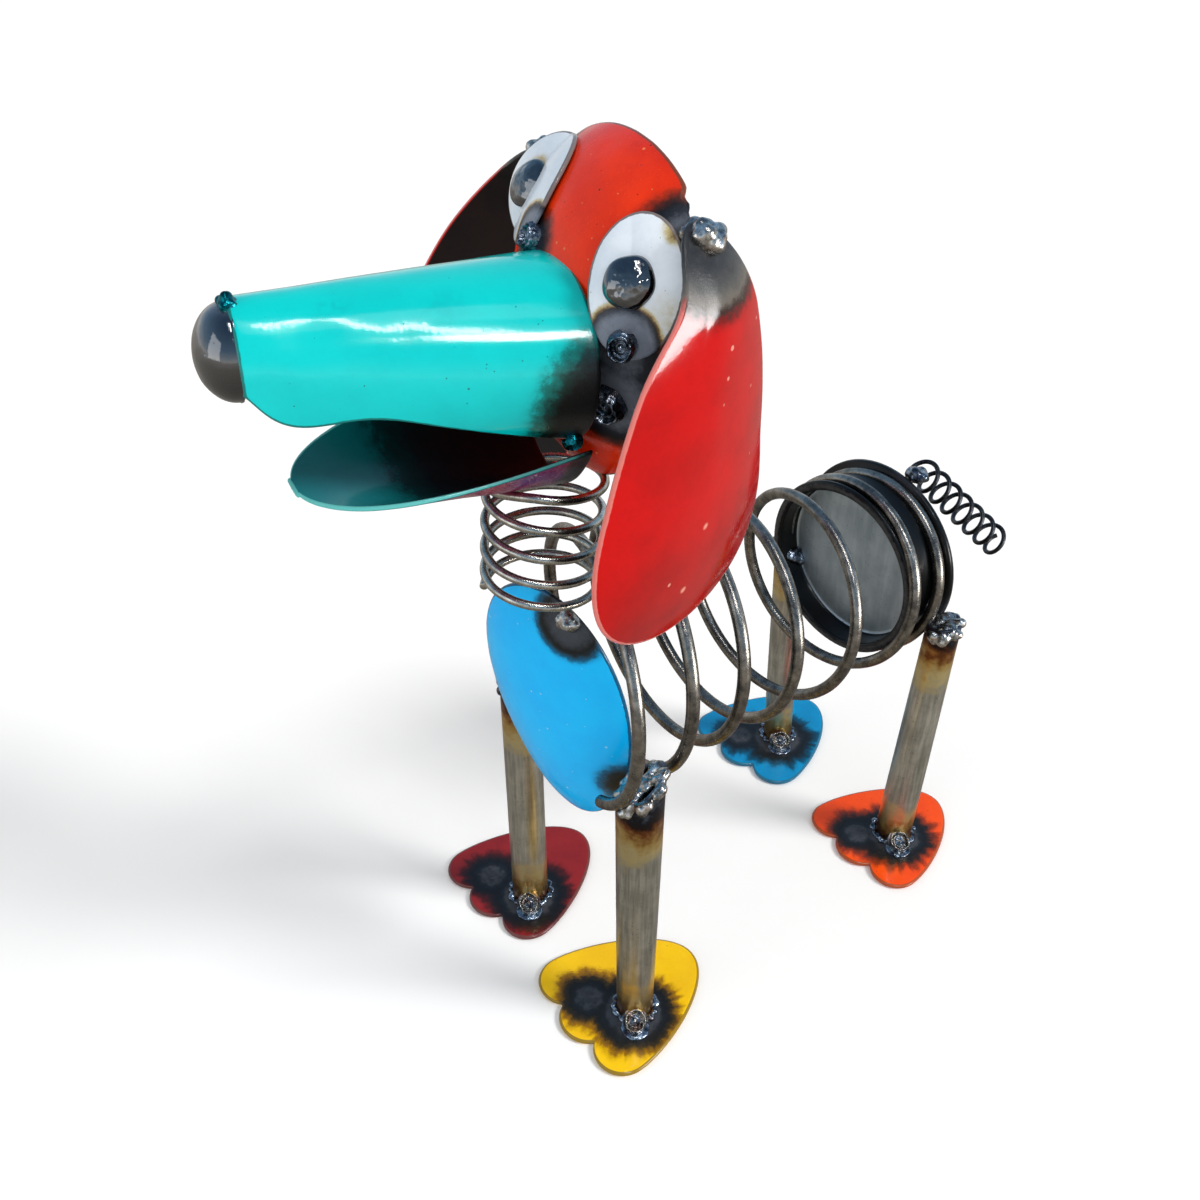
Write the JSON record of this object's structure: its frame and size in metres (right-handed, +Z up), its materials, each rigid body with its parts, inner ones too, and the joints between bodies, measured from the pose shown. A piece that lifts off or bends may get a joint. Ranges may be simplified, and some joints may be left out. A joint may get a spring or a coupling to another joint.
{
  "type": "scrap metal dog sculpture",
  "caption": "Standing hound sculpture welded from painted scrap sheet metal, with coil-spring body, neck and tail, drooping ears, open jaw, tube legs and flat paw-shaped feet.",
  "frame": {"origin": "centre of the footprint of the whole sculpture, on the plane its paws stand on", "axes": "+Z up, the dog faces -Y, its left side is +X"},
  "size_m": [0.1686, 0.3374, 0.3479],
  "materials": {
    "head_paint": "gloss",
    "eye_white": "gloss",
    "gloss_black": "gloss",
    "snout_paint": "gloss",
    "jaw_paint": "gloss",
    "ear_red": "gloss",
    "ear_brown": "satin",
    "chest_paint": "gloss",
    "drum_black": "satin",
    "neck_steel": "satin",
    "coil_steel": "satin",
    "tail_steel": "satin",
    "leg_steel": "satin",
    "paw_yellow": "gloss",
    "paw_darkred": "gloss",
    "paw_orange": "gloss",
    "paw_blue": "gloss",
    "weld_metal": "rough"
  },
  "bodies": {
    "root": {"head_shell": "head_paint", "eye_plate_left": "eye_white", "eye_plate_right": "eye_white", "pupil_left": "gloss_black", "pupil_right": "gloss_black", "snout": "snout_paint", "jaw": "jaw_paint", "nose": "gloss_black", "ear_left": "ear_red", "ear_right": "ear_brown", "neck_spring": "neck_steel", "chest_plate": "chest_paint", "body_spring": "coil_steel", "rear_drum": "drum_black", "tail_spring": "tail_steel", "leg_front_left": "leg_steel", "leg_front_right": "leg_steel", "leg_rear_left": "leg_steel", "leg_rear_right": "leg_steel", "foot_front_left": "paw_yellow", "foot_front_right": "paw_darkred", "foot_rear_left": "paw_orange", "foot_rear_right": "paw_blue", "weld_ear_left": "weld_metal", "weld_ear_right": "weld_metal", "weld_nose": "weld_metal", "weld_chest": "weld_metal", "weld_leg_front_left": "weld_metal", "weld_leg_front_right": "weld_metal", "weld_leg_rear_left": "weld_metal", "weld_leg_rear_right": "weld_metal", "weld_tail": "weld_metal", "weld_eye_left": "weld_metal", "weld_eye_right": "weld_metal", "weld_snout_left": "weld_metal", "weld_jaw_left": "weld_metal", "weld_foot_front_left": "weld_metal", "weld_foot_front_right": "weld_metal", "weld_foot_rear_left": "weld_metal", "weld_foot_rear_right": "weld_metal"}
  },
  "joints": []
}
